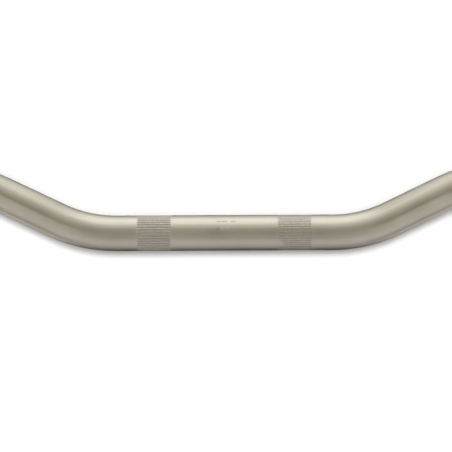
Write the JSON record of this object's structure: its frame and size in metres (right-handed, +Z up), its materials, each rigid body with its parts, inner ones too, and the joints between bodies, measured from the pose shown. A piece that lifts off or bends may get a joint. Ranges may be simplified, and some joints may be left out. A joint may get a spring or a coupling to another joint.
{
  "type": "motorcycle handlebar",
  "caption": "Low bent tubular handlebar with a straight knurled clamp section, raised legs, swept-back grip ends and a threaded insert in each end.",
  "frame": {"origin": "on the tube's axis, in the middle of the straight clamp section between the two knurled bands", "axes": "+X along the clamp section to the rider's right, +Y the way the bar rises, +Z the side to which the grips sweep, towards the rider; the bar lies on its clamp section with +Z up, and turns about X in its clamps to suit the rider"},
  "size_m": [0.7352, 0.07, 0.0973],
  "materials": {
    "anodised_aluminium": "fine satin, bead blasted and anodised in a pale champagne grey",
    "bare_aluminium": "turned, natural"
  },
  "bodies": {
    "root": {"bar_tube": "anodised_aluminium", "end_insert_left": "bare_aluminium", "end_insert_right": "bare_aluminium"}
  },
  "joints": []
}
